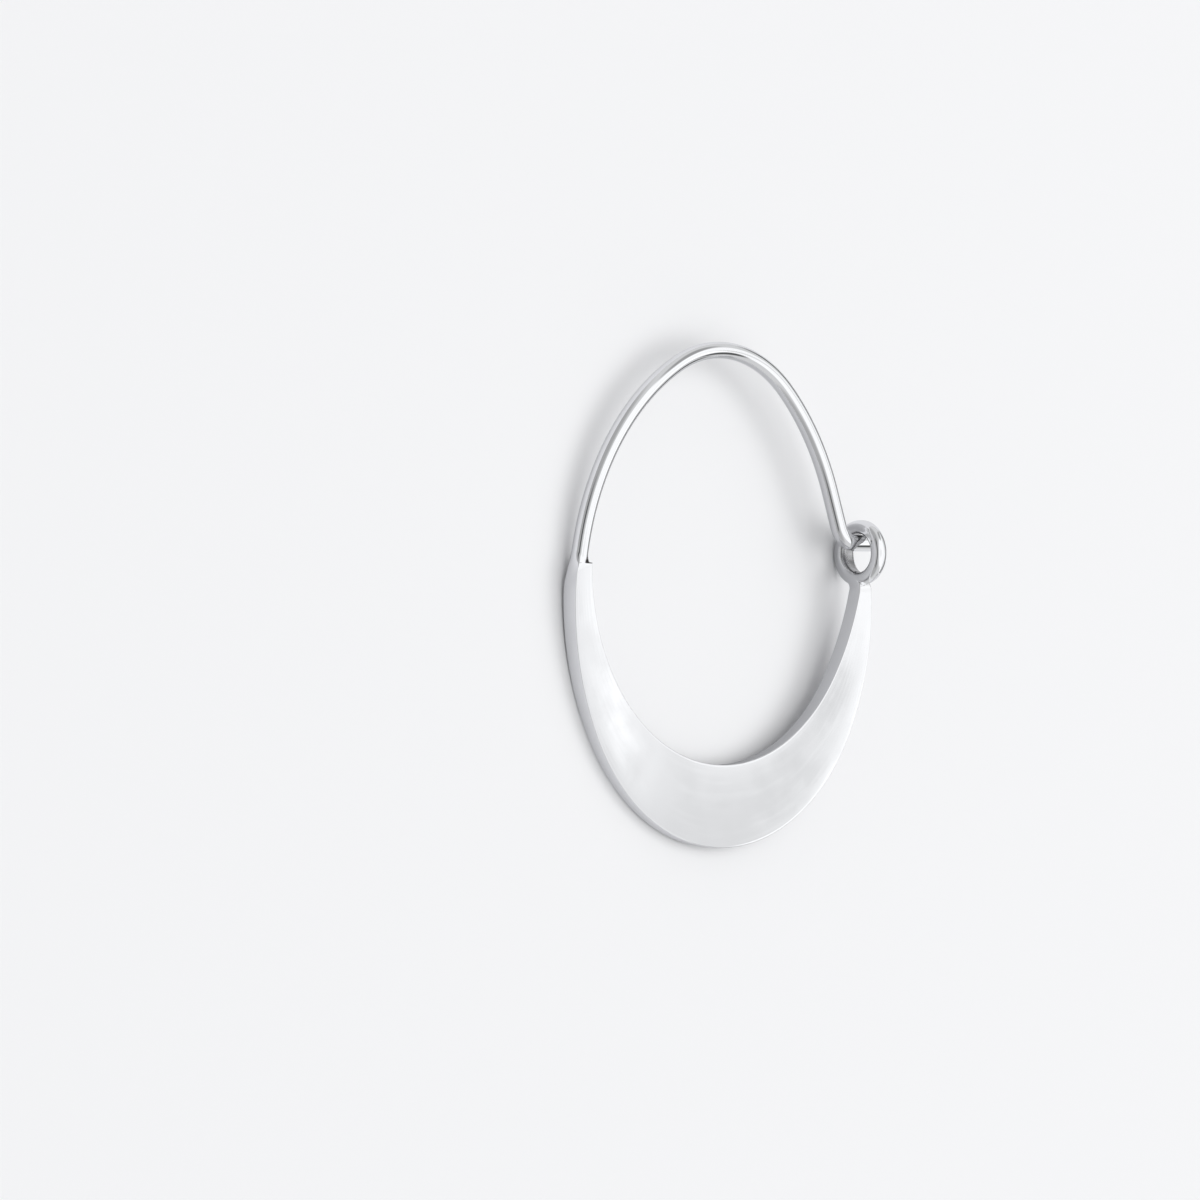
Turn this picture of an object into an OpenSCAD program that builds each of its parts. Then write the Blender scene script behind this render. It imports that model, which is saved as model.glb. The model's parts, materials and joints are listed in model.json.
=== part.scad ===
// Creole hoop earring: a flat crescent plate, a round ear wire soldered to one tip
// and a catch eye on the other tip, in one solid piece of polished silver.
// The pieces are drawn in the plane of the hoop: x towards the eye, y up from the
// bottom rim, z out of the front face. The last step lays the hoop on its back.

/* [Hoop] */
// Height of the hoop, from its bottom rim to the top of the ear wire
hoop_h = 25; // [23:0.1:32]
// Width over the crescent's outer rim
hoop_w = 21.9; // [21:0.1:23.8]
// Height of the widest place above the bottom rim
waist_h = 12.1; // [11.2:0.1:13.4]
// Angle below the waist where the rim's side arcs meet its bottom arc
rim_shoulder = 28; // [22:1:40]

/* [Crescent] */
// Depth of the plate at the bottom of the hoop
crescent_depth = 4.1; // [2.5:0.1:5.5]
// Radius of the plate's inner edge
inner_r = 9.75; // [9.2:0.05:10.1]
// Radius of the inner edge near the eye, where the plate narrows
eye_arm_r = 14; // [11:0.5:20]
// Angle below the inner edge's centre where that narrowing starts
eye_arm_start = 35; // [25:1:50]
// Height of the tip that carries the ear wire
wire_tip_h = 14.05; // [12.8:0.05:15.5]
// Height of the tip that carries the eye
eye_tip_h = 13.05; // [11.5:0.05:14.2]
// Thickness of the plate at the bottom of the hoop
bottom_t = 0.6; // [0.4:0.02:0.86]
// Thickness of the plate at the ear wire's tip
tip_t = 0.88; // [0.88:0.02:1.3]

/* [Ear wire] */
// Diameter of the round wire
wire_d = 0.84; // [0.6:0.02:0.84]
// How far the wire's surface lies in from the line of the rim
rim_step = 0.1; // [0.05:0.01:0.2]
// How far the wire runs down into the plate's tip
wire_root = 0.4; // [0.2:0.05:1]
// Angle above the waist where the wire's side arc meets its top arc
wire_shoulder = 63.5; // [56:0.5:70]
// Angle from the top of the hoop at which the free leg leaves the top arc
free_turn = 42.8; // [40:0.2:46]
// Lean of the free leg's straight stretch from upright
free_lean = 20.4; // [17:0.2:23]
// Radius of the hook's bend along the wire's centre line
hook_r = 1.28; // [1:0.02:1.5]
// Length of the hook beyond the eye
hook_past_eye = 0.45; // [0.2:0.05:2]
// Bevel around the hook's end
hook_bevel = 0.12; // [0.02:0.01:0.2]

/* [Catch eye] */
// Diameter of the hole that the hook passes through
eye_hole_d = 1.92; // [1.7:0.02:2.6]
// Thickness of the loop, measured outwards from its hole
eye_t = 0.69; // [0.5:0.01:0.9]
// Width of the loop, measured along its hole
eye_w = 0.8; // [0.6:0.02:1]
// Radius of the loop's rounded edges
eye_edge_r = 0.2; // [0.05:0.01:0.22]
// Turn of the loop about its upright axis
eye_turn = 4; // [0:0.5:8]
// Depth to which the loop is let into the plate's tip
eye_seat = 0.1; // [0.05:0.01:0.3]
// Thickness of the neck between the loop and the plate
neck_t = 0.76; // [0.5:0.02:0.8]
// Radius of the fillet from the loop to the back of the neck
neck_fillet = 0.45; // [0.2:0.05:0.8]
// Gap between the hook and the top of the hole
hook_gap = 0.05; // [0.03:0.01:0.2]

/* [Hidden] */
$fn = 48;

// Lengths that reach past whatever they cut
past = 2 * hoop_h;
// Overlap where a fillet runs out into a round surface
blend = 0.01;
// How much thinner the wire's side arcs and its bend are than the stretches between
// them, and how far they run into those stretches' ends
seam_step = 0.006;
seam_lap = 0.05;

// An oval quarter of two arcs that meet smoothly at an angle called the shoulder:
// a is the half width, b the half height, both from the arc centres' waist
function arc_gap(a, b, shoulder) = (b - a) / (sin(shoulder) + cos(shoulder) - 1);
function end_arc_r(a, b, shoulder) = b - arc_gap(a, b, shoulder) * sin(shoulder);
function side_arc_r(a, b, shoulder) = a + arc_gap(a, b, shoulder) * cos(shoulder);
function at_angle(centre, r, angle) = centre + r * [cos(angle), sin(angle)];

// The rim's arcs
rim_half_w = hoop_w / 2;
rim_bottom_r = end_arc_r(rim_half_w, waist_h, rim_shoulder);
rim_side_r = side_arc_r(rim_half_w, waist_h, rim_shoulder);
rim_side_x = rim_side_r - rim_half_w;
function rim_x(y) = sqrt(pow(rim_side_r, 2) - pow(y - waist_h, 2)) - rim_side_x;

// The plate's inner edge, and its thickness at a height
inner_centre = [0, crescent_depth + inner_r];
taper = (tip_t - bottom_t) / wire_tip_h;
function plate_t(y) = bottom_t + taper * y;

// The loop of the eye
eye_r = eye_hole_d / 2 + eye_t;
eye_x = rim_x(eye_tip_h) - eye_w / 2;
eye_y = eye_tip_h + eye_r - eye_seat;
fillet_z = -(neck_t / 2 + neck_fillet);
fillet_y = eye_y - sqrt(pow(eye_r + neck_fillet - blend, 2) - pow(fillet_z, 2));

// The ear wire's centre line: side arc, top arc, free leg's arc, straight stretch, bend, end
wire_r = wire_d / 2;
wire_half_w = rim_half_w - rim_step - wire_r;
wire_half_h = hoop_h - wire_r - waist_h;
wire_top_r = end_arc_r(wire_half_w, wire_half_h, wire_shoulder);
wire_side_r = side_arc_r(wire_half_w, wire_half_h, wire_shoulder);
side_centre = [wire_side_r - wire_half_w, waist_h];
top_centre = [0, hoop_h - wire_r - wire_top_r];
root_angle = asin((wire_tip_h - wire_root - waist_h) / wire_side_r);
free_centre = at_angle(top_centre, wire_top_r - wire_side_r, 90 - free_turn);
straight_start = at_angle(free_centre, wire_side_r, free_lean);
hook_y = eye_y + eye_hole_d / 2 - hook_gap - wire_r;
straight_drop = straight_start[1] + hook_r * sin(free_lean) - hook_y - hook_r;
straight_l = straight_drop / cos(free_lean);
bend_start = at_angle(straight_start, straight_l, free_lean - 90);
bend_centre = at_angle(bend_start, hook_r, free_lean);
hook_end_x = eye_x + eye_w / 2 + hook_past_eye;

// How the hoop lies: on the loop, and on the back edge of the rim at rest_at degrees
// round from the bottom towards the wire's tip, which is where its weight brings it
rest_at = 55;
loop_foot_x = eye_x - eye_w / 2 + eye_edge_r + eye_r * sin(eye_turn);
rest_reach = loop_foot_x * sin(rest_at) + eye_y * cos(rest_at) + rim_bottom_r * (1 - cos(rest_at));
rest_slope = (eye_r - bottom_t / 2 - taper / 2 * eye_y) / rest_reach;
slope_x = rest_slope * sin(rest_at);
slope_y = rest_slope * cos(rest_at) + taper / 2;
slope_l = norm([slope_x, slope_y, 1]);
lie_roll = asin(slope_x / slope_l);
lie_pitch = atan(slope_y);
rest_z = -(bottom_t / 2 + rest_slope * rim_bottom_r * (1 - cos(rest_at))) / slope_l;

// Where a point of the upright hoop comes to lie, for the middle of its outline
function lying_x(x, y, z) = x * cos(lie_roll) - (y * sin(lie_pitch) + z * cos(lie_pitch)) * sin(lie_roll);
function lying_y(y, z) = y * cos(lie_pitch) - z * sin(lie_pitch);
left_x = lying_x(-rim_half_w, waist_h, plate_t(waist_h) / 2);
right_x = lying_x(hook_end_x, hook_y, hook_bevel - wire_r);
low_y = lying_y(0, bottom_t / 2);
high_y = lying_y(hoop_h - wire_r, 0) + wire_r;

// A pie slice from a centre, between two angles less than 180 degrees apart
module slice(centre, from, to) {
    middle = (from + to) / 2;
    polygon([centre, at_angle(centre, past, from), at_angle(centre, 2 * past, middle), at_angle(centre, past, to)]);
}

// A round wire bent along an arc in the plane of the hoop
module bent_wire(centre, r, from, to) {
    lap = seam_lap / r * 180 / PI;
    translate([centre[0], centre[1], 0])
        rotate([0, 0, from - lap])
            rotate_extrude(angle = to - from + 2 * lap)
                translate([r, 0])
                    circle(r = wire_r - seam_step);
}

// Everything inside the rim's line, up to the tips
module inside_rim() {
    shoulder_slice = [180 + rim_shoulder, 360 - rim_shoulder];
    bottom_centre = [0, rim_bottom_r];
    intersection() {
        translate(bottom_centre) circle(r = rim_bottom_r);
        slice(bottom_centre, shoulder_slice[0], shoulder_slice[1]);
    }
    difference() {
        intersection() {
            translate([-rim_side_x, waist_h]) circle(r = rim_side_r);
            translate([rim_side_x, waist_h]) circle(r = rim_side_r);
        }
        slice(bottom_centre, shoulder_slice[0], shoulder_slice[1]);
    }
}

// Everything inside the plate's inner edge, which opens out a little towards the eye
module inside_edge() {
    arm_centre = at_angle(inner_centre, inner_r - eye_arm_r, -eye_arm_start);
    difference() {
        translate(inner_centre) circle(r = inner_r);
        slice(inner_centre, -eye_arm_start, 90);
    }
    intersection() {
        translate(arm_centre) circle(r = eye_arm_r);
        slice(inner_centre, -eye_arm_start, 90);
    }
}

module crescent() {
    color("silver")
    intersection() {
        linear_extrude(height = 2 * tip_t, center = true)
            difference() {
                inside_rim();
                inside_edge();
                translate([-past, wire_tip_h]) square(past);
                translate([0, eye_tip_h]) square(past);
            }
        rotate([90, 0, 90])
            linear_extrude(height = past, center = true)
                polygon([
                    [-past, -plate_t(-past) / 2],
                    [past, -plate_t(past) / 2],
                    [past, plate_t(past) / 2],
                    [-past, plate_t(-past) / 2]
                ]);
    }
}

module ear_wire() {
    color("silver") {
        bent_wire(side_centre, wire_side_r, 180 - wire_shoulder, 180 - root_angle);
        translate([top_centre[0], top_centre[1], 0])
            rotate([0, 0, 90 - free_turn])
                rotate_extrude(angle = 90 + free_turn - wire_shoulder)
                    translate([wire_top_r, 0])
                        circle(r = wire_r);
        bent_wire(free_centre, wire_side_r, free_lean, 90 - free_turn);
        translate([straight_start[0], straight_start[1], 0])
            rotate([90, 0, free_lean])
                cylinder(r = wire_r, h = straight_l);
        bent_wire(bend_centre, hook_r, 180 + free_lean, 270);
        translate([bend_centre[0], hook_y, 0])
            rotate([0, 90, 0])
                cylinder(r = wire_r, h = hook_end_x - hook_bevel - bend_centre[0]);
        translate([hook_end_x - hook_bevel, hook_y, 0])
            rotate([0, 90, 0])
                cylinder(r1 = wire_r, r2 = wire_r - hook_bevel, h = hook_bevel);
    }
}

// The loop's section: a bar with rounded edges
module bar_section(thickness, width, edge_r) {
    square([thickness - 2 * edge_r, width], center = true);
    square([thickness, width - 2 * edge_r], center = true);
    for (i = [-1, 1], j = [-1, 1])
        translate([i * (thickness / 2 - edge_r), j * (width / 2 - edge_r)])
            circle(r = edge_r);
}

module catch_eye() {
    color("silver")
    translate([eye_x, 0, 0])
        rotate([0, -eye_turn, 0]) {
            translate([0, eye_y, 0])
                rotate([0, 90, 0])
                    rotate_extrude()
                        translate([eye_r - eye_t / 2, 0])
                            bar_section(eye_t, eye_w, eye_edge_r);
            rotate([90, 0, 90])
                linear_extrude(height = eye_w, center = true)
                    difference() {
                        polygon([
                            [fillet_y - wire_root, neck_t / 2],
                            [fillet_y - wire_root, -neck_t / 2],
                            [fillet_y, -neck_t / 2],
                            [fillet_y, fillet_z],
                            [eye_y, 0],
                            [eye_y, neck_t / 2]
                        ]);
                        translate([fillet_y, fillet_z]) circle(r = neck_fillet);
                        translate([eye_y, 0]) circle(r = eye_r - eye_t / 2);
                    }
        }
}

module creole_hoop() {
    translate([-(left_x + right_x) / 2, -(low_y + high_y) / 2, -rest_z])
        rotate([lie_pitch, -lie_roll, 0]) {
            crescent();
            ear_wire();
            catch_eye();
        }
}

creole_hoop();
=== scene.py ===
import json
import math

import bpy
import numpy as np
from mathutils import Matrix, Vector


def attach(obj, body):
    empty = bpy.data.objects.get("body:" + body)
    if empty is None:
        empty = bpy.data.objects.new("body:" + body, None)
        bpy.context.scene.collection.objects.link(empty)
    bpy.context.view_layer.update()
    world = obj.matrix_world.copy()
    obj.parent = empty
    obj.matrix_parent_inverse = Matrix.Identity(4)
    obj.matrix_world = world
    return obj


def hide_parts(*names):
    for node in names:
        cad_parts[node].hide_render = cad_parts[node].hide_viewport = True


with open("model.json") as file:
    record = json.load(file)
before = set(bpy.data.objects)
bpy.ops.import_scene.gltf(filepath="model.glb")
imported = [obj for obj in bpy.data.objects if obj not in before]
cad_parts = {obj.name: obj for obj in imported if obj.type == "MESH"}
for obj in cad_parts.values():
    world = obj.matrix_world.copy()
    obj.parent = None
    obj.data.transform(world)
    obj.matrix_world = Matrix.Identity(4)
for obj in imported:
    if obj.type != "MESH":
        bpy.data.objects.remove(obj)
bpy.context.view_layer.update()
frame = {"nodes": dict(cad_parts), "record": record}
print("frame loaded:", sorted(frame["nodes"]))

# Sizes are in millimetres in the hoop's own plane: x towards the eye, y up from the
# bottom rim, z out of the front face. layDown() turns them into metres on the floor.
mm = 0.001


# Smooth step: three x squared less two x cubed, between 0 and 1
def smooth(x):
    x = np.clip(x, 0.0, 1.0)
    return x * x * (3 - 2 * x)


# A point on a circle: the centre, plus the radius times the angle's cosine and sine
def polar(centre, radius, degrees):
    a = np.radians(degrees)
    return np.stack([centre[0] + radius * np.cos(a), centre[1] + radius * np.sin(a)], -1)


# Radii of an oval quarter's end arc and side arc: the two differ by the height less the width,
# over sine plus cosine of the shoulder less one.
def ovalArcs(halfWidth, halfHeight, shoulder):
    s, c = math.sin(math.radians(shoulder)), math.cos(math.radians(shoulder))
    gap = (halfHeight - halfWidth) / (s + c - 1)
    return halfHeight - gap * s, halfWidth + gap * c


# Points and headings at distances along arcs and lines joined end to end. The place is the start
# plus what each piece moves by, and the heading the start's plus what each arc turns by.
def along(pieces, distance):
    first = pieces[0]
    sign = 1 if first["to"] > first["from"] else -1
    place = polar(first["centre"], first["radius"], first["from"])
    heading = first["from"] + 90 * sign
    start = 0.0
    place = np.broadcast_to(place, distance.shape + (2,)).copy()
    heading = np.full(distance.shape, float(heading))
    for piece in pieces:
        share = np.clip((distance - start) / piece["length"], 0, 1)
        if "centre" in piece:
            turned = piece["from"] + (piece["to"] - piece["from"]) * share
            base = polar(piece["centre"], piece["radius"], piece["from"])
            place += polar(piece["centre"], piece["radius"], turned) - base
            heading += turned - piece["from"]
        else:
            place += share[..., None] * np.array(piece["step"])
        start += piece["length"]
    return place, heading


# An arc by its centre, radius and angles. Its length is the turn in radians times the radius.
def arc(centre, radius, start, end):
    return {"centre": centre, "radius": radius, "from": start, "to": end,
            "length": abs(math.radians(end - start)) * radius}


# A straight piece, by the step from its start to its end
def line(start, end):
    step = (end[0] - start[0], end[1] - start[1])
    return {"step": step, "length": math.hypot(*step)}


# The sum of the pieces' lengths
def totalLength(pieces):
    return sum(p["length"] for p in pieces)


# The arcsine in degrees
def degAsin(x):
    return math.degrees(math.asin(x))


hoop = {
    "height": 25.0,
    "width": 21.9,
    "waist": 12.1,          # height of the widest place
    "shoulder": 28.0,       # degrees below the waist where the rim's arcs meet
}

crescent = {
    "depth": 4.1,           # at the bottom of the hoop
    "innerRadius": 9.75,
    "armRadius": 14.0,      # inner edge near the eye
    "armStart": 35.0,       # degrees below the inner edge's centre
    "wireTip": 14.05,       # height of the tip under the ear wire
    "eyeTip": 13.05,        # height of the tip under the eye
    "bottomThick": 0.6,
    "tipThick": 0.88,
    "drawnThick": 0.76,     # the tip is hammered out a little before it curls
    "drawnFrom": 6.0,       # height where that starts
    "edgeRound": 0.04,
    "bow": 0.004,           # the faces stand this much prouder along their middle
    "crown": 0.002,         # and polishing has taken this much more off their edges
    "widest": 2.05,         # half width where that holds: it goes with the cube of the width
    "flatBelowNeck": 2.0,   # both die away over this length below the neck
    "polish": 0.003,        # taken off rim and inner edge
    "steps": 420,
}

# The rim and the inner edge, as arcs
halfWidth = hoop["width"] / 2
waist = hoop["waist"]
rimBottom, rimSide = ovalArcs(halfWidth, waist, hoop["shoulder"])
rimShift = rimSide - halfWidth
innerCentre = (0.0, crescent["depth"] + crescent["innerRadius"])
armShift = crescent["innerRadius"] - crescent["armRadius"]
armCentre = polar(innerCentre, armShift, -crescent["armStart"])
taper = (crescent["tipThick"] - crescent["bottomThick"]) / crescent["wireTip"]


# How far out the rim's side arc is at a height: the root of its radius squared less the height
# over the waist squared, less how far its centre lies past the middle
def rimX(y):
    return np.sqrt(rimSide ** 2 - (y - waist) ** 2) - rimShift


# The slope there: minus that height over that root
def rimSlope(y):
    return -(y - waist) / math.sqrt(rimSide ** 2 - (y - waist) ** 2)


# The same for the inner edge near the eye, whose arc has a centre of its own
def armX(y):
    return armCentre[0] + np.sqrt(crescent["armRadius"] ** 2 - (y - armCentre[1]) ** 2)


# And its slope
def armSlope(y):
    return -(y - armCentre[1]) / math.sqrt(crescent["armRadius"] ** 2 - (y - armCentre[1]) ** 2)


# The same for the rest of the inner edge, whose centre is on the hoop's middle line
def innerX(y):
    return np.sqrt(crescent["innerRadius"] ** 2 - (y - innerCentre[1]) ** 2)


catchEye = {
    "hole": 1.92,
    "thick": 0.69,
    "width": 0.8,
    "widen": 0.22,          # the strip is this much wider on its far side before it narrows
    "widenFrom": (40.0, 150.0),
    "widenTo": 185.0,       # from here it narrows again, down to the foot of the neck
    "insideEdge": 0.3,      # round of the edges that face the hole
    "domeWide": 0.4,        # the outside is domed by an oval quarter at each edge
    "domeDeep": 0.3,
    "domeFrom": 100.0,      # degrees round the ring where the dome starts to flatten
    "domeRun": 160.0,       # degrees over which it does
    "domeDone": 0.6,        # share of that which the ring does, before the neck does the rest
    "turn": 4.0,            # degrees about the upright
    "seat": 0.1,            # how far the ring is let into the tip
    "neckFillet": 0.45,     # inner radius of the neck's bend
    "hookGap": 0.05,        # between the hook and the top of the hole
    "curlEnd": -108.0,      # where the curl runs out inside the neck
    "curlNarrow": 0.03,     # the curl's end is this much narrower each side
    "curlTuck": 0.08,       # and its far side this much more
    "curlRun": 70.0,        # degrees over which both die away
    "insidePaintedShade": 0.46,    # how strong the painted shade is inside the ring
    "creasePaintedShade": 9.0,     # degrees over which the painted shade where the curl ends dies away
    "ringSteps": 220,
    "neckSteps": 44,
}

# The eye: a ring standing square to the plate, and the neck's arc that leads into it
eyeOuter = catchEye["hole"] / 2 + catchEye["thick"]
eyeMid = eyeOuter - catchEye["thick"] / 2
eyeX = float(rimX(crescent["eyeTip"])) - catchEye["width"] / 2
eyeY = crescent["eyeTip"] + eyeOuter - catchEye["seat"]
neckRadius = catchEye["neckFillet"] + catchEye["thick"] / 2
neckStart = eyeY - math.sqrt(2 * neckRadius * eyeMid + eyeMid ** 2)
neckTurn = math.degrees(math.atan2(eyeY - neckStart, neckRadius))

earWire = {
    "thick": 0.84,
    "rimStep": 0.1,         # the wire lies this far in from the rim's line
    "shoulder": 63.5,       # degrees above the waist where side arc meets top arc
    "freeTurn": 42.8,       # degrees past the top where the free leg leaves
    "freeLean": 20.4,       # lean of the leg's straight stretch
    "hookRadius": 1.28,
    "hookPast": 0.45,       # length beyond the eye
    "endRound": 0.12,
    "polish": 0.005,        # taken off the radius
    "squareUp": 1.4,        # length over which level sections turn square to the wire
    "steps": 560,
    "endSteps": 8,
}

# The wire's centre line
wireHalf = earWire["thick"] / 2
wireWide = halfWidth - earWire["rimStep"] - wireHalf
wireHigh = hoop["height"] - wireHalf - waist
wireTop, wireSide = ovalArcs(wireWide, wireHigh, earWire["shoulder"])
sideCentre = (wireSide - wireWide, waist)
topCentre = (0.0, hoop["height"] - wireHalf - wireTop)
rootAngle = degAsin((crescent["wireTip"] - waist) / wireSide)
freeCentre = polar(topCentre, wireTop - wireSide, 90 - earWire["freeTurn"])
straightStart = polar(freeCentre, wireSide, earWire["freeLean"])
hookY = eyeY + catchEye["hole"] / 2 - catchEye["hookGap"] - wireHalf
leanSin = math.sin(math.radians(earWire["freeLean"]))
leanCos = math.cos(math.radians(earWire["freeLean"]))
straightDrop = straightStart[1] - hookY - earWire["hookRadius"] * (1 - leanSin)
bendStart = straightStart + straightDrop * np.array([leanSin / leanCos, -1.0])
bendCentre = polar(bendStart, earWire["hookRadius"], earWire["freeLean"])
hookEnd = eyeX + catchEye["width"] / 2 + earWire["hookPast"]
wirePieces = [
    arc(sideCentre, wireSide, 180 - rootAngle, 180 - earWire["shoulder"]),
    arc(topCentre, wireTop, 180 - earWire["shoulder"], 90 - earWire["freeTurn"]),
    arc(freeCentre, wireSide, 90 - earWire["freeTurn"], earWire["freeLean"]),
    line(straightStart, bendStart),
    arc(bendCentre, earWire["hookRadius"], 180 + earWire["freeLean"], 270),
    line((bendCentre[0], hookY), (hookEnd, hookY)),
]

# Quads across one section of the metal
section = {
    "cornerSteps": 6,
    "edgeSteps": 6,         # across the thickness
    "faceSteps": 12,        # across the width
}


# A section's points in order round the metal, from the middle of its outer side. Each lies at p
# flat half widths and q flat half heights, plus the edge's round at an angle. The last array is
# the same point's angle where the metal is round, evenly spaced.
def profile():
    corner, edge, face = [section[n] for n in ["cornerSteps", "edgeSteps", "faceSteps"]]
    ends = np.cumsum([0, edge / 2, corner, face, corner, edge, corner, face, corner, edge / 2])
    i = np.arange(int(ends[-1]))
    p = np.interp(i, ends, [1, 1, 1, -1, -1, -1, -1, 1, 1, 1])
    q = np.interp(i, ends, [0, 1, 1, 1, 1, -1, -1, -1, -1, 0])
    turn = np.interp(i, ends, [0, 0, 90, 90, 180, 180, 270, 270, 360, 360])
    p, q = np.sin(p * np.pi / 2), np.sin(q * np.pi / 2)   # closer together by the edges
    return p, q, np.radians(turn), i * 2 * np.pi / ends[-1]


flatP, flatQ, cornerTurn, roundTurn = profile()


# Section of a bar with rounded edges: across and through, for each station and point. A dome gives
# the edges on the lower side oval quarters of their own.
def bar(halfWide, halfThick, edgeRound, domeWide=None, domeDeep=None):
    e = np.reshape(edgeRound, (-1, 1))
    upper = (1 + flatQ) / 2
    wide = e if domeWide is None else e * upper + np.reshape(domeWide, (-1, 1)) * (1 - upper)
    deep = e if domeDeep is None else e * upper + np.reshape(domeDeep, (-1, 1)) * (1 - upper)
    low = e if domeDeep is None else np.reshape(domeDeep, (-1, 1))
    across = flatP * (np.reshape(halfWide, (-1, 1)) - wide) + wide * np.cos(cornerTurn)
    plain = upper * (halfThick - e) - (1 - upper) * (halfThick - low)
    through = plain + deep * np.sin(cornerTurn)
    return across, through


# The ring: a bar carried round a circle that stands square to the plate, from the curl's end
# inside the neck, up the front, over and down the back. Then the neck: the same bar carried round
# a smaller arc that turns the other way, down into the plate. Its sides run smoothly from the
# ring's to the plate's, as a cubic that keeps both their slopes. The far side stands wider by a
# smooth step of the angle, and comes back by a smooth step of the length along the strip.
def eyeSections():
    psi = np.linspace(catchEye["curlEnd"], 180 + neckTurn, catchEye["ringSteps"])
    alpha = np.linspace(neckTurn, 0, catchEye["neckSteps"] + 1)[1:-1]
    t = 1 - alpha / neckTurn
    c = np.radians(psi)
    a = np.radians(alpha)
    middle = np.concatenate([
        np.stack([eyeMid * np.cos(c), eyeY + eyeMid * np.sin(c)], -1),
        np.stack([neckRadius * (np.cos(a) - 1), neckStart + neckRadius * np.sin(a)], -1)])
    through = np.concatenate([
        -np.stack([np.cos(c), np.sin(c)], -1),
        np.stack([np.cos(a), np.sin(a)], -1)])

    length = neckRadius * math.radians(neckTurn)
    sides = []
    start, full = catchEye["widenFrom"]
    since = eyeMid * np.radians(psi - catchEye["widenTo"])
    since = np.concatenate([since, since[-1] + length * t])
    widened = catchEye["widen"] * (1 - smooth(since / (since[len(psi) - 1] + length)))
    widened[:len(psi)] *= smooth((psi - start) / (full - start))
    for ring, x, slope in [(eyeX + catchEye["width"] / 2, rimX(neckStart), rimSlope(neckStart)),
                           (eyeX - catchEye["width"] / 2, armX(neckStart), armSlope(neckStart))]:
        back = 1 - t
        run = slope * length * (back ** 3 - 2 * back ** 2 + back)
        sides.append(x + run + (ring - x) * (3 * back ** 2 - 2 * back ** 3))
    ending = 1 - smooth((psi - catchEye["curlEnd"]) / catchEye["curlRun"])
    added = widened[:len(psi)] - catchEye["curlTuck"] * ending
    ringHalf = (catchEye["width"] + added) / 2 - catchEye["curlNarrow"] * ending
    sides[0] += widened[len(psi):]
    halfWide = np.concatenate([ringHalf, (sides[0] - sides[1]) / 2])
    x = np.concatenate([eyeX + added / 2, (sides[0] + sides[1]) / 2])

    share = np.concatenate([np.zeros(len(psi)), smooth(t)])
    halfThick = (catchEye["thick"] + (crescent["drawnThick"] - catchEye["thick"]) * share) / 2
    done = catchEye["domeDone"]
    onRing = smooth((psi - catchEye["domeFrom"]) / catchEye["domeRun"]) * done
    flat = np.concatenate([onRing, done + (1 - done) * smooth(t)])
    rounds = [catchEye[name] + (crescent["edgeRound"] - catchEye[name]) * flat
              for name in ["domeWide", "domeDeep"]]
    inside = catchEye["insideEdge"] + (crescent["edgeRound"] - catchEye["insideEdge"]) * share
    across, deep = bar(halfWide, halfThick[:, None], inside, *rounds)
    points = np.empty(across.shape + (3,))
    points[..., 0] = x[:, None] + across
    points[..., 2] = middle[:, :1] + through[:, :1] * deep
    points[..., 1] = middle[:, 1:] + through[:, 1:] * deep

    # Painted shade inside the ring: darker towards the side that faces the hole, fading out along
    # the neck
    paintedShade = smooth(deep / halfThick[:, None]) * (1 - share)[:, None] * catchEye["insidePaintedShade"]
    past = np.concatenate([psi, 180 + alpha]) - catchEye["curlEnd"]
    paintedCreaseShade = np.exp(-(past / catchEye["creasePaintedShade"]) ** 2)     # painted shade where the curl ends
    paintedShade = np.maximum(paintedShade, paintedCreaseShade[:, None])

    # the ring stands slightly turned about its upright
    turn = -np.radians(catchEye["turn"]) * (1 - share)[:, None]
    out, front = points[..., 0] - eyeX, points[..., 2].copy()
    points[..., 0] = eyeX + out * np.cos(turn) + front * np.sin(turn)
    points[..., 2] = front * np.cos(turn) - out * np.sin(turn)
    return points, paintedShade


# Half the plate's thickness: a straight taper with height, thinned smoothly to the drawn tip on
# the eye's side.
def plateHalf(x, y):
    straight = (crescent["bottomThick"] + taper * y) / 2
    drawn = smooth((y - crescent["drawnFrom"]) / (neckStart - crescent["drawnFrom"])) * (x > 0)
    return straight + (crescent["drawnThick"] / 2 - straight) * drawn


# The plate between two lines of points: each section spans from one line to the other, and its
# half thickness follows the taper less a dome, which grows with the square and the fourth power of
# the distance from the middle, and with the cube of the plate's width.
def plateSections(outer, inner):
    middle, span = (outer + inner) / 2, (outer - inner) / 2
    halfWide = np.linalg.norm(span, axis=-1)
    across = bar(halfWide - crescent["polish"], halfWide[:, None], crescent["edgeRound"])[0]
    share = across / halfWide[:, None]
    points = np.empty(across.shape + (3,))
    points[..., :2] = middle[:, None] + span[:, None] * share[..., None]
    y = points[..., 1]
    flat = smooth((y - neckStart) / crescent["flatBelowNeck"] + 1) * (points[..., 0] > 0)
    narrow = (halfWide[:, None] / crescent["widest"]) ** 3
    dome = (crescent["bow"] * share ** 2 + crescent["crown"] * share ** 4) * narrow * (1 - flat)
    half = plateHalf(points[..., 0], y) - dome
    points[..., 2] = bar(halfWide, half, crescent["edgeRound"])[1]
    return points


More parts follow.
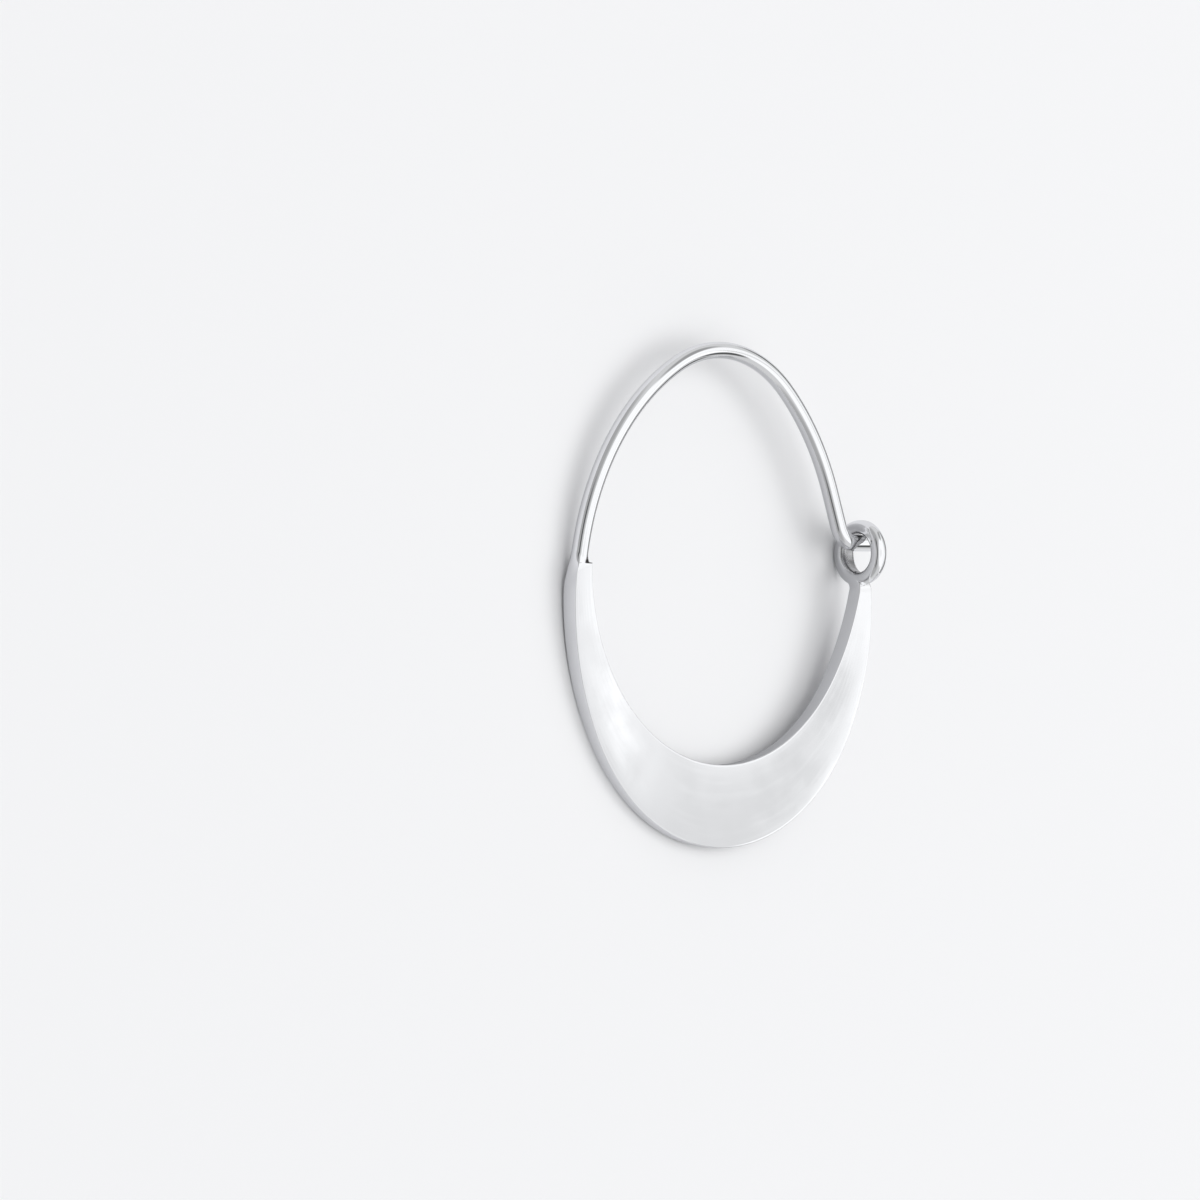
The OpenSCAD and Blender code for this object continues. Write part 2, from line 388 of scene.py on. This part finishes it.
# Rim and inner edge are taken at equal shares of their lengths, from tip to tip
def crescentSections():
    low = crescent["wireTip"] + joint["outer"][0]
    side = hoop["shoulder"]
    outer = [arc((-rimShift, waist), rimSide, degAsin((neckStart - waist) / rimSide), -side),
             arc((0, rimBottom), rimBottom, -side, side - 180),
             arc((rimShift, waist), rimSide, 180 + side, 180 - degAsin((low - waist) / rimSide))]
    startArm = degAsin((neckStart - armCentre[1]) / crescent["armRadius"])
    endInner = -180 - degAsin((low - innerCentre[1]) / crescent["innerRadius"])
    inner = [arc(armCentre, crescent["armRadius"], startArm, -crescent["armStart"]),
             arc(innerCentre, crescent["innerRadius"], -crescent["armStart"], endInner)]
    t = np.linspace(0, 1, crescent["steps"])
    rim = along(outer, t * totalLength(outer))[0]
    edge = along(inner, t * totalLength(inner))[0]
    return plateSections(rim, edge)


# How the solder joint is blended on each side of the metal, between two heights above the cut
joint = {
    "outer": (-1.5, 0.8),
    "shoulder": (-0.5, 0.45),
    "face": (-0.25, 0.15),
    "inner": (0.0, 0.03),
    "filletHeight": 0.42,   # where it ends above the cut
    "filletShare": 0.42,    # share of the inner step that solder fills
    "filletFrom": (90.0, 45.0),     # degrees from the inner side where it starts and is full
    "paintedShadeFrom": (105.0, 70.0),     # and the same for its painted shade
    "paintedShadeHeight": 0.35,    # how far above and below the cut the painted shade fades to about a third
    "paintedShadeBelow": 0.03,
    "steps": 60,
    "growth": 1.5,          # above the cut the sections stand apart by this power of their number
}


# How far each point has changed from the plate's section to the wire's, by its height over the
# cut. It follows a smooth step between two heights that depend on the side of the metal, less the
# solder's fillet on the inner side, which dies away with the square of the height.
def jointShare(height):
    sides = np.array([0, 45, 90, 135, 180, 225, 270, 315, 360])
    # the back has no shoulder of its own: its outer edge keeps to the outer heights
    names = ["outer", "shoulder", "face", "inner", "inner", "inner", "face", "outer", "outer"]
    angle = np.degrees(roundTurn)
    low = np.interp(angle, sides, [joint[n][0] for n in names])
    high = np.interp(angle, sides, [joint[n][1] for n in names])
    share = smooth((height[:, None] - low) / (high - low))
    left = np.clip(1 - height / joint["filletHeight"], 0, 1)[:, None] ** 2
    return share * (1 - joint["filletShare"] * innerShare(*joint["filletFrom"]) * left)


# Painted shade in the solder's corner on the inner side. It dies away by the exponential of the
# distance from the cut, faster below it than above.
def paintedSolderShade(height):
    fade = np.exp(-np.maximum(height / joint["paintedShadeHeight"], -height / joint["paintedShadeBelow"]))
    return innerShare(*joint["paintedShadeFrom"]) * fade[:, None]


# One on the side of the metal that faces the hoop's middle, nought further from it than the first
# angle, and a smooth step of the angle from that to the second.
def innerShare(start, full):
    aside = np.abs(np.degrees(roundTurn) - 180)
    return smooth((start - aside) / (start - full))


# Level sections of the tip, from where the blend starts up to the cut
def jointSections():
    y = crescent["wireTip"] + np.linspace(joint["outer"][0], 0, joint["steps"] + 1)[1:]
    plate = plateSections(np.stack([-rimX(y), y], -1), np.stack([-innerX(y), y], -1))
    tilt = np.arcsin((y - waist) / wireSide)
    x = sideCentre[0] - wireSide * np.cos(tilt)
    wire = plate.copy()
    wire[..., 0] = x[:, None] - wireHalf / np.cos(tilt)[:, None] * np.cos(roundTurn)
    wire[..., 2] = wireHalf * np.sin(roundTurn)
    share = jointShare(y - crescent["wireTip"])[..., None]
    rows = plate + (wire - plate) * share
    return rows, paintedSolderShade(y - crescent["wireTip"]), plate[-1], x[-1]


# A circle carried along the wire's centre line. Its first sections are level, as the cut is, and
# turn square to the wire. Over the joint each point starts from its place on the tip's section.
# The end is rounded off as a quarter circle. The painted shade in the solder's corner dies away by
# the exponential of the distance from the cut.
def wireSections(tip, tipX):
    length = totalLength(wirePieces)
    step = joint["inner"][1]
    grown = np.linspace(0, 1, joint["steps"] + 1)[1:] ** joint["growth"]
    spread = step + grown * (joint["outer"][1] - step)
    fine = np.concatenate([[step / 3, step * 2 / 3, step], spread])
    quarter = np.linspace(0, np.pi / 2, earWire["endSteps"])
    bevel = length - earWire["endRound"] * (1 - np.sin(quarter))
    even = np.linspace(fine[-1], bevel[0], earWire["steps"])[1:-1]
    distance = np.concatenate([fine, even, bevel])
    centre, heading = along(wirePieces, distance)

    square = heading + 90
    facing = 180 + (square - 180) * smooth(distance / earWire["squareUp"])
    lean = np.radians(facing - square)
    left = np.clip(1 - (length - distance) / earWire["endRound"], 0, 1)
    radius = wireHalf - earWire["polish"] - earWire["endRound"] * (1 - np.sqrt(1 - left ** 2))
    across = radius[:, None] / np.cos(lean)[:, None] * np.cos(roundTurn)
    deep = radius[:, None] * np.sin(roundTurn)
    share = jointShare(distance)
    across = across * share + (tipX - tip[:, 0]) * (1 - share)
    deep = deep * share + tip[:, 2] * (1 - share)

    a = np.radians(facing)
    out = np.stack([np.cos(a), np.sin(a)], -1)
    points = np.empty(across.shape + (3,))
    points[..., :2] = centre[:, None] + out[:, None] * across[..., None]
    points[..., 2] = deep
    return points, paintedSolderShade(distance)


# The frame says how the hoop lies: the wire's top and the front face's direction are its mounts
mounts = {m["name"]: m for m in frame["record"]["mounts"]}
wireTopAt = np.array(mounts["ear_wire_top"]["pos_m"])
sideways = np.array(mounts["ear_wire_top"]["axis"])
facingOut = np.array(mounts["front_face"]["axis"])
lift = math.atan(taper / 2)
level = np.cross(facingOut, sideways)
upHoop = math.cos(lift) * level - math.sin(lift) * facingOut
outOfHoop = math.cos(lift) * facingOut + math.sin(lift) * level
turnToFloor = np.stack([sideways, upHoop, outOfHoop])


# From millimetres in the hoop's plane to metres on the floor: turned with the hoop's three
# directions and measured from the top of the wire.
def layDown(points):
    fromTop = np.asarray(points, float) - [0, hoop["height"] - wireHalf, 0]
    return wireTopAt + (fromTop * mm) @ turnToFloor


# Joins sections into one closed skin: quads between neighbours, and a fan at each end. The UV map
# runs along the metal in millimetres and round it in shares.
def sweepMesh(name, sections, paintedShade):
    rows, count = sections.shape[:2]
    grid = np.arange(rows * count).reshape(rows, count)
    beside = np.roll(grid, -1, axis=1)
    quads = np.stack([grid[:-1], beside[:-1], beside[1:], grid[1:]], -1).reshape(-1, 4)
    first, last = rows * count, rows * count + 1
    fanStart = np.stack([np.full(count, first), beside[0], grid[0]], -1)
    fanEnd = np.stack([np.full(count, last), grid[-1], beside[-1]], -1)
    tips = [sections[0].mean(0), sections[-1].mean(0)]
    points = np.concatenate([sections.reshape(-1, 3), tips])

    data = bpy.data.meshes.new(name)
    corners = np.concatenate([quads.ravel(), fanStart.ravel(), fanEnd.ravel()])
    sizes = np.concatenate([np.full(len(quads), 4), np.full(2 * count, 3)])
    data.vertices.add(len(points))
    data.vertices.foreach_set("co", layDown(points).ravel())
    data.loops.add(len(corners))
    data.loops.foreach_set("vertex_index", corners)
    data.polygons.add(len(sizes))
    data.polygons.foreach_set("loop_start", np.cumsum(sizes) - sizes)
    data.polygons.foreach_set("use_smooth", np.ones(len(sizes), bool))

    steps = np.linalg.norm(np.diff(sections.mean(1), axis=0), axis=-1)
    run = np.concatenate([[0], np.cumsum(steps)])
    shares = np.stack([np.arange(count), np.arange(count) + 1]) / count
    u = np.stack([run[:-1], run[:-1], run[1:], run[1:]], -1)
    u = np.repeat(u[:, None], count, axis=1)
    v = np.broadcast_to(shares[[0, 1, 1, 0]].T, (rows - 1, count, 4))
    ends = np.concatenate([np.zeros((3 * count, 2)), np.tile([run[-1], 0], (3 * count, 1))])
    uv = np.concatenate([np.stack([u, v], -1).reshape(-1, 2), ends])
    layer = data.uv_layers.new(name="alongMetal")
    # painted shade: each point's amount of dark colour painted into the metal
    paintedShadeAmount = data.attributes.new("paintedShade", "FLOAT", "POINT")
    data.update(calc_edges=True)
    layer.data.foreach_set("uv", uv.ravel())
    paintedShadeAmount.data.foreach_set("value", np.concatenate([paintedShade.ravel(), [paintedShade[0].mean(), 0]]))
    data.validate()
    piece = bpy.data.objects.new(name, data)
    bpy.context.collection.objects.link(piece)
    return piece


eyeRows, eyePaintedShade = eyeSections()
jointRows, jointPaintedShade, tipRow, tipMiddle = jointSections()
wireRows, wirePaintedShade = wireSections(tipRow, tipMiddle)
plateRows = crescentSections()
sections = np.concatenate([eyeRows, plateRows, jointRows, wireRows])
platePaintedShade = np.zeros((len(plateRows), len(flatP)))
paintedShades = np.concatenate([eyePaintedShade, platePaintedShade, jointPaintedShade, wirePaintedShade])
creole = sweepMesh("creoleHoop", sections, paintedShades)
print("hoop made:", len(sections), "sections,", len(creole.data.polygons), "faces")

# Shader nodes: each helper adds one node to a tree and gives its output
mixSockets = {"RGBA": (6, 7, 2), "FLOAT": (2, 3, 0)}    # a Mix node's two inputs and its output


# A socket takes another node's output, or else a fixed value
def feed(tree, socket, value):
    if isinstance(value, bpy.types.NodeSocket):
        tree.links.new(value, socket)
    else:
        socket.default_value = value


# Arithmetic that ends in one number: on numbers, or on vectors where the kind is VectorMath
def maths(tree, operation, *values, kind="Math"):
    node = tree.nodes.new("ShaderNode" + kind)
    node.operation = operation
    for socket, value in zip(node.inputs, values):
        feed(tree, socket, value)
    return node.outputs["Value"]


# Smooth step from low to high, as the value goes from start to end
def ranged(tree, value, start, end, low=0.0, high=1.0):
    node = tree.nodes.new("ShaderNodeMapRange")
    node.interpolation_type = "SMOOTHSTEP"
    names = ["Value", "From Min", "From Max", "To Min", "To Max"]
    for name, given in zip(names, [value, start, end, low, high]):
        feed(tree, node.inputs[name], given)
    return node.outputs["Result"]


# The first value where the share is nought, the second where it is one, and in line between
def mixed(tree, kind, share, first, second):
    node = tree.nodes.new("ShaderNodeMix")
    node.data_type = kind
    a, b, result = mixSockets[kind]
    for socket, value in [("Factor", share), (a, first), (b, second)]:
        feed(tree, node.inputs[socket], value)
    return node.outputs[result]


# Cloudy noise, between nought and one
def noise(tree, place, scale, detail):
    node = tree.nodes.new("ShaderNodeTexNoise")
    for name, value in [("Vector", place), ("Scale", scale), ("Detail", detail)]:
        feed(tree, node.inputs[name], value)
    return node.outputs["Fac"]


silver = {
    "colour": (0.93, 0.935, 0.945, 1),
    "dull": (0.80, 0.80, 0.81, 1),      # where the polish is thinner
    "paintedDark": (0.055, 0.05, 0.05, 1),    # painted shade in the solder's corner, inside the eye and where the curl ends
    "cloudScale": 420,      # per metre
    "cloudDetail": 4,
    "clouding": 0.2,        # how far the cloudiest places go to the dull colour
    "dullFrom": (0.45, 0.8),            # cloudiness where that starts and is full
    "roughness": (0.03, 0.07),
    "roughFrom": (0.3, 0.75),           # cloudiness where it starts to grow and is full
    "lineScale": (0.22, 70),            # lines per millimetre along, and per turn round
    "lineDetail": 2,
    "lineFrom": (0.45, 0.7),            # noise where a line starts and is full
    "lineRoughness": 0.012,
    "lineDepth": 0.00000008,            # metres
    "waveScale": 170,
    "waveDetail": 1,
    "waveDepth": 0.0000008,
    "patchScale": 2520,     # the noise that makes the painted shade patchy
    "patchDetail": 3,
    "patchGain": (0.5, 0.9),            # the painted shade is taken times the noise times this, plus this
    "paintedDarkFrom": (0.25, 0.75),          # painted-shade amount where the dark colour starts and is full
    "paintedDarkRoughness": 0.35,
}


# Polished silver: fine lines that run along the metal, from noise that is stretched along the UV
# map; cloudy changes of polish, and a very shallow waviness from the wheel, from noise on Object
# coordinates; and painted shade, dark and rougher, by the painted-shade attribute times noise
def polishedSilver():
    metal = bpy.data.materials.new("polishedSilver")
    metal.use_nodes = True
    tree = metal.node_tree
    shader = tree.nodes["Principled BSDF"]
    shader.inputs["Metallic"].default_value = 1.0

    place = tree.nodes.new("ShaderNodeTexCoord").outputs["Object"]
    alongMetal = tree.nodes.new("ShaderNodeUVMap")
    alongMetal.uv_map = "alongMetal"
    stretch = tree.nodes.new("ShaderNodeMapping")
    feed(tree, stretch.inputs["Vector"], alongMetal.outputs["UV"])
    feed(tree, stretch.inputs["Scale"], (*silver["lineScale"], 1))
    clouds = noise(tree, place, silver["cloudScale"], silver["cloudDetail"])
    lines = noise(tree, stretch.outputs["Vector"], 1.0, silver["lineDetail"])
    waves = noise(tree, place, silver["waveScale"], silver["waveDetail"])

    # painted shade: the mesh's painted-shade amount, made patchy by noise, darkens the colour and
    # roughens it
    paintedShade = tree.nodes.new("ShaderNodeAttribute")
    paintedShade.attribute_name = "paintedShade"
    patches = noise(tree, place, silver["patchScale"], silver["patchDetail"])
    patchy = maths(tree, "MULTIPLY_ADD", patches, *silver["patchGain"])
    paintedShadeAmount = maths(tree, "MULTIPLY", paintedShade.outputs["Fac"], patchy)
    paintedDark = ranged(tree, paintedShadeAmount, *silver["paintedDarkFrom"])

    dulled = ranged(tree, clouds, *silver["dullFrom"], 0.0, silver["clouding"])
    polished = mixed(tree, "RGBA", dulled, silver["colour"], silver["dull"])
    coloured = mixed(tree, "RGBA", paintedDark, polished, silver["paintedDark"])
    feed(tree, shader.inputs["Base Color"], coloured)

    rough = ranged(tree, clouds, *silver["roughFrom"], *silver["roughness"])
    lined = ranged(tree, lines, *silver["lineFrom"], 0.0, silver["lineRoughness"])
    rough = maths(tree, "ADD", rough, lined)
    rough = maths(tree, "ADD", rough, maths(tree, "MULTIPLY", paintedDark, silver["paintedDarkRoughness"]))
    feed(tree, shader.inputs["Roughness"], rough)

    under = None
    for height, depth in [(waves, silver["waveDepth"]), (lines, silver["lineDepth"])]:
        bump = tree.nodes.new("ShaderNodeBump")
        bump.inputs["Distance"].default_value = depth
        feed(tree, bump.inputs["Height"], height)
        if under:
            feed(tree, bump.inputs["Normal"], under)
        under = bump.outputs["Normal"]
    feed(tree, shader.inputs["Normal"], under)
    return metal


creole.data.materials.append(polishedSilver())
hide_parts("creole_hoop")
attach(creole, "root")
print("silver done")

shot = {
    "turn": 48.0,           # degrees that the camera stands round to the wire's side of the front
    "distance": 502.5,
    "lens": 305.25,
    "sensor": 36.0,
    "aimHeight": 12.24,
    "aimAside": 5.934,      # the hoop stands right of the picture's middle
}


# The camera stands off from the hoop's middle by its distance times the turn's sine and cosine, and
# aims beside the hoop. The hoop's upright stays upright in the picture.
def addCamera():
    turn = math.radians(shot["turn"])
    toCamera = np.array([-math.sin(turn), 0, math.cos(turn)])
    pictureRight = np.array([math.cos(turn), 0, math.sin(turn)])
    middle = np.array([0, shot["aimHeight"], 0])
    place = layDown(middle + toCamera * shot["distance"])
    aim = layDown(middle - pictureRight * shot["aimAside"])
    back = Vector(place - aim).normalized()
    right = Vector(upHoop).cross(back).normalized()
    up = back.cross(right)
    camera = bpy.data.objects.new("camera", bpy.data.cameras.new("camera"))
    camera.data.lens = shot["lens"]
    camera.data.sensor_width = shot["sensor"]
    turned = Matrix([right, up, back]).transposed().to_4x4()
    camera.matrix_world = Matrix.Translation(place) @ turned
    bpy.context.collection.objects.link(camera)
    bpy.context.scene.camera = camera
    return Vector(toCamera @ turnToFloor)


towardsCamera = addCamera()
print("camera set")


# The way that a flat mirror sends a view: twice its share along the normal, less the view
def mirrored(direction, normal):
    d, n = Vector(direction).normalized(), Vector(normal).normalized()
    return 2 * d.dot(n) * n - d


frontMirrors = mirrored(towardsCamera, facingOut)

keyLight = {
    "aim": (0, 0, 0.001),   # just above the floor, under the hoop's middle
    "distance": 0.8,
    "size": 0.42,
    "power": 1.0,
}


# The large softbox that the front face mirrors, at a distance along the mirrored view. The room's
# front panel is its reflection, so the metal doesn't mirror the lamp itself.
def addKeyLight():
    data = bpy.data.lights.new("keyLight", "AREA")
    data.size = keyLight["size"]
    data.energy = keyLight["power"]
    box = bpy.data.objects.new("keyLight", data)
    box.location = Vector(keyLight["aim"]) + frontMirrors.normalized() * keyLight["distance"]
    box.rotation_euler = frontMirrors.to_track_quat("Z", "Y").to_euler()
    box.visible_glossy = False
    bpy.context.collection.objects.link(box)


# The room: brightness of each panel, and the angles in degrees where it starts and is full.
# Directions are the hoop's own: towards the eye, up, and out of the front.
room = {
    "walls": 0.66,
    "onFloor": 1.27,        # how much of the room's light the floor gets
    "tint": (0.985, 0.99, 1.0, 1),
    "panels": [
        {"bright": 0.50, "towards": (-0.9, 0, 0.42), "edge": (38, 20)},        # behind the camera
        {"bright": 0.40, "towards": (-0.62, 0.70, 0.2), "edge": (48, 25)},     # grey screens
        {"bright": 0.42, "towards": (-0.62, -0.70, 0.2), "edge": (48, 25)},
        {"bright": 1.06, "towards": (0.31, 0, 0.95), "edge": (46, 37)},        # the bank overhead
        {"bright": 0.90, "towards": (0, 0, 1), "edge": (17, 4)},               # and its middle
        {"bright": 0.10, "towards": (0.743, -0.48, 0.465), "edge": (13, 7)},   # a black card
        {"bright": 0.34, "towards": (0.5, 0.65, 0.55), "edge": (18, 8)},       # a grey card
    ],
    # the dark gap that the camera looks through: a narrow band along the hoop's upright
    "gap": {"bright": 0.08, "outOfPlane": 38, "halfWide": (10, 4), "halfLong": (48, 28)},
    # a dark strip low down: degrees above the floor's level, and round from the right
    "horizon": {"bright": 0.1, "above": (20, 14), "round": (38, 26)},
    # The softbox that the front face mirrors. The face is so flat that it sees little of it. Its
    # sides have brightnesses of their own, with the angles across it where each starts and is full.
    "front": {
        "bright": 0.76,
        "edge": (14, 10),
        "left": {"bright": 1.5, "across": (-0.45, 0.5), "lean": 30},
        "right": {"bright": 1.5, "across": (0.68, 1.2)},
        "leftEnd": {"bright": 0.80, "across": (0.56, 0.84)},
        "top": {"bright": 1.02, "across": (0.2, 1.4)},
        "brightest": 1.2,
    },
}


# A pale tent all round. Each panel is a patch of directions with soft edges: a smooth step on the
# cosine of the angle to the panel's middle. Later panels lie over earlier ones.
def addRoom():
    world = bpy.data.worlds.new("studio")
    world.use_nodes = True
    bpy.context.scene.world = world
    tree = world.node_tree
    direction = tree.nodes.new("ShaderNodeTexCoord").outputs["Generated"]

    # One within the second angle of a direction, nought beyond the first
    def share(middle, start, end):
        dot = maths(tree, "DOT_PRODUCT", direction, Vector(middle).normalized(), kind="VectorMath")
        return ranged(tree, dot, math.cos(math.radians(start)), math.cos(math.radians(end)))

    # A panel's brightness where its mask is one, and what lies under it where that is nought
    def over(under, bright, mask):
        return mixed(tree, "FLOAT", mask, under, bright)

    # The product of two numbers
    def both(first, second):
        return maths(tree, "MULTIPLY", first, second)

    bright = room["walls"]
    for panel in room["panels"]:
        towards = np.array(panel["towards"]) @ turnToFloor
        bright = over(bright, panel["bright"], share(towards, *panel["edge"]))

    gap = room["gap"]
    out = math.radians(gap["outOfPlane"])
    across = np.array([math.sin(out), 0, math.cos(out)]) @ turnToFloor
    middle = np.array([-math.cos(out), 0, math.sin(out)]) @ turnToFloor
    sides = [share(side, *[90 + angle for angle in gap["halfWide"]]) for side in (across, -across)]
    bright = over(bright, gap["bright"], both(both(*sides), share(middle, *gap["halfLong"])))

    strip = room["horizon"]
    low = share((0, 0, -1), *[90 + angle for angle in strip["above"]])
    bright = over(bright, strip["bright"], both(low, share((1, 0, 0), *strip["round"])))

    front = room["front"]
    aside = frontMirrors.cross(Vector(-upHoop)).normalized()
    above = frontMirrors.cross(aside)
    lean = math.radians(front["left"]["lean"])
    leftAndUp = above * math.sin(lean) - aside * math.cos(lean)
    face = front["bright"]
    for side, towards in [
            ("left", leftAndUp), ("right", aside), ("leftEnd", -aside), ("top", above)]:
        mask = share(towards, *[90 - angle for angle in front[side]["across"]])
        face = over(face, front[side]["bright"], mask)
    face = maths(tree, "MINIMUM", face, front["brightest"])
    bright = over(bright, face, share(frontMirrors, *front["edge"]))

    fromFloor = tree.nodes.new("ShaderNodeLightPath").outputs["Is Diffuse Ray"]
    strength = both(bright, over(1.0, room["onFloor"], fromFloor))
    background = tree.nodes["Background"]
    feed(tree, background.inputs["Strength"], strength)
    background.inputs["Color"].default_value = room["tint"]


paperFloor = {
    "half": 3.0,
    "colour": (0.93, 0.93, 0.935, 1),
    "roughness": 0.9,
    "specular": 0.1,
    # what the metal mirrors of it: painted reflection, greyer than the camera sees it and darkest
    # inside the hoop, as painted shade on the metal's rims
    "paintedShadeMirroredInside": (0.57, 0.57, 0.585, 1),
    "paintedShadeMirroredOutside": (0.76, 0.76, 0.775, 1),
    "outside": (0.0100, 0.0112),        # metres from the hoop's middle
}


# A square sheet. Only the metal sees the painted reflection: a grey that changes by a smooth step
# of the distance from the hoop's middle.
def addFloor():
    data = bpy.data.meshes.new("floor")
    half = paperFloor["half"]
    corners = [(-half, -half, 0), (half, -half, 0), (half, half, 0), (-half, half, 0)]
    data.from_pydata(corners, [], [(0, 1, 2, 3)])
    data.update()
    floor = bpy.data.objects.new("floor", data)
    bpy.context.collection.objects.link(floor)

    paper = bpy.data.materials.new("palePaper")
    paper.use_nodes = True
    tree = paper.node_tree
    shader = tree.nodes["Principled BSDF"]
    shader.inputs["Roughness"].default_value = paperFloor["roughness"]
    shader.inputs["Specular IOR Level"].default_value = paperFloor["specular"]
    place = tree.nodes.new("ShaderNodeTexCoord").outputs["Object"]
    distance = maths(tree, "LENGTH", place, kind="VectorMath")
    outside = ranged(tree, distance, *paperFloor["outside"])
    paintedReflectionGreys = [paperFloor["paintedShadeMirroredInside"], paperFloor["paintedShadeMirroredOutside"]]
    paintedReflectionGrey = mixed(tree, "RGBA", outside, *paintedReflectionGreys)
    # painted reflection: rays from the metal see the darker grey, the camera the even pale colour
    fromMetal = tree.nodes.new("ShaderNodeLightPath").outputs["Is Glossy Ray"]
    seen = mixed(tree, "RGBA", fromMetal, paperFloor["colour"], paintedReflectionGrey)
    feed(tree, shader.inputs["Base Color"], seen)
    data.materials.append(paper)


addKeyLight()
addRoom()
addFloor()
bpy.context.scene.view_settings.view_transform = "Standard"
print("studio set")
